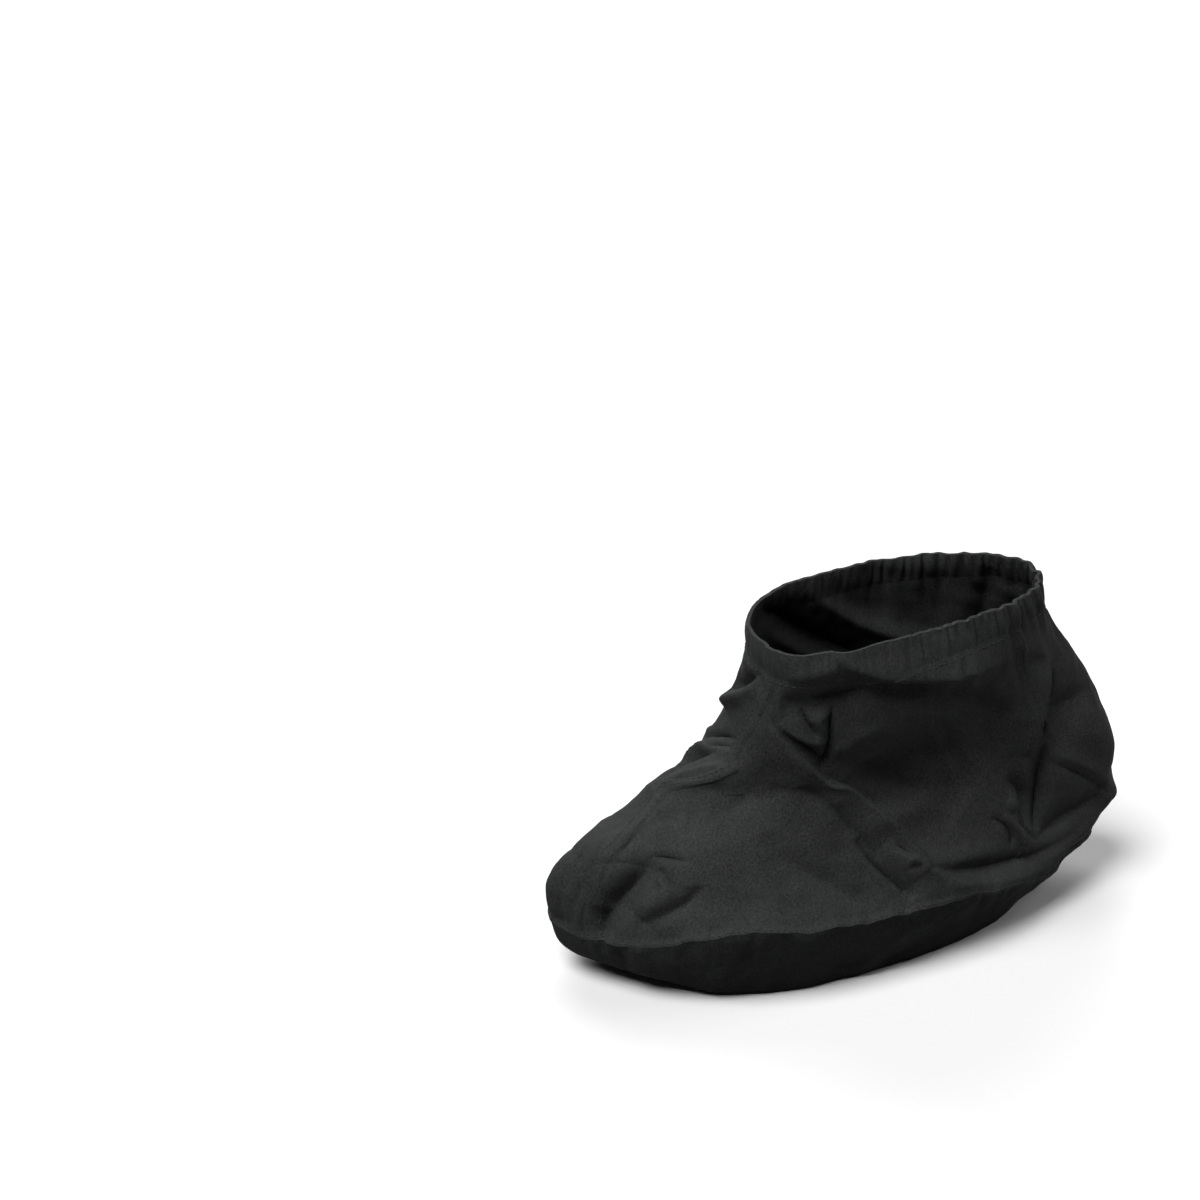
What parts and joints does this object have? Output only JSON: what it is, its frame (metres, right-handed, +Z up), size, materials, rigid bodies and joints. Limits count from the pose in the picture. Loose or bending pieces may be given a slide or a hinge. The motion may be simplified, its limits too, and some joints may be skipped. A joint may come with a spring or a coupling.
{
  "type": "overshoe",
  "caption": "Left cleanroom overshoe of black woven cloth: soft foot-shaped cover with a sole pan, joined upper halves, heel panel and elastic ankle hem.",
  "frame": {"origin": "on the floor under the middle of the cover", "axes": "+Z up, toe towards -Y, heel towards +Y, outer side of the left foot towards +X"},
  "size_m": [0.1102, 0.2946, 0.1686],
  "materials": {
    "upper_cloth": "matte woven polyester with a faint sheen",
    "sole_cloth": "matte, closer woven and coated on the inside",
    "hem_cloth": "matte woven polyester, gathered on elastic"
  },
  "bodies": {
    "root": {"sole": "sole_cloth", "lateral_upper": "upper_cloth", "medial_upper": "upper_cloth", "heel_panel": "upper_cloth", "top_hem": "hem_cloth"}
  },
  "joints": []
}
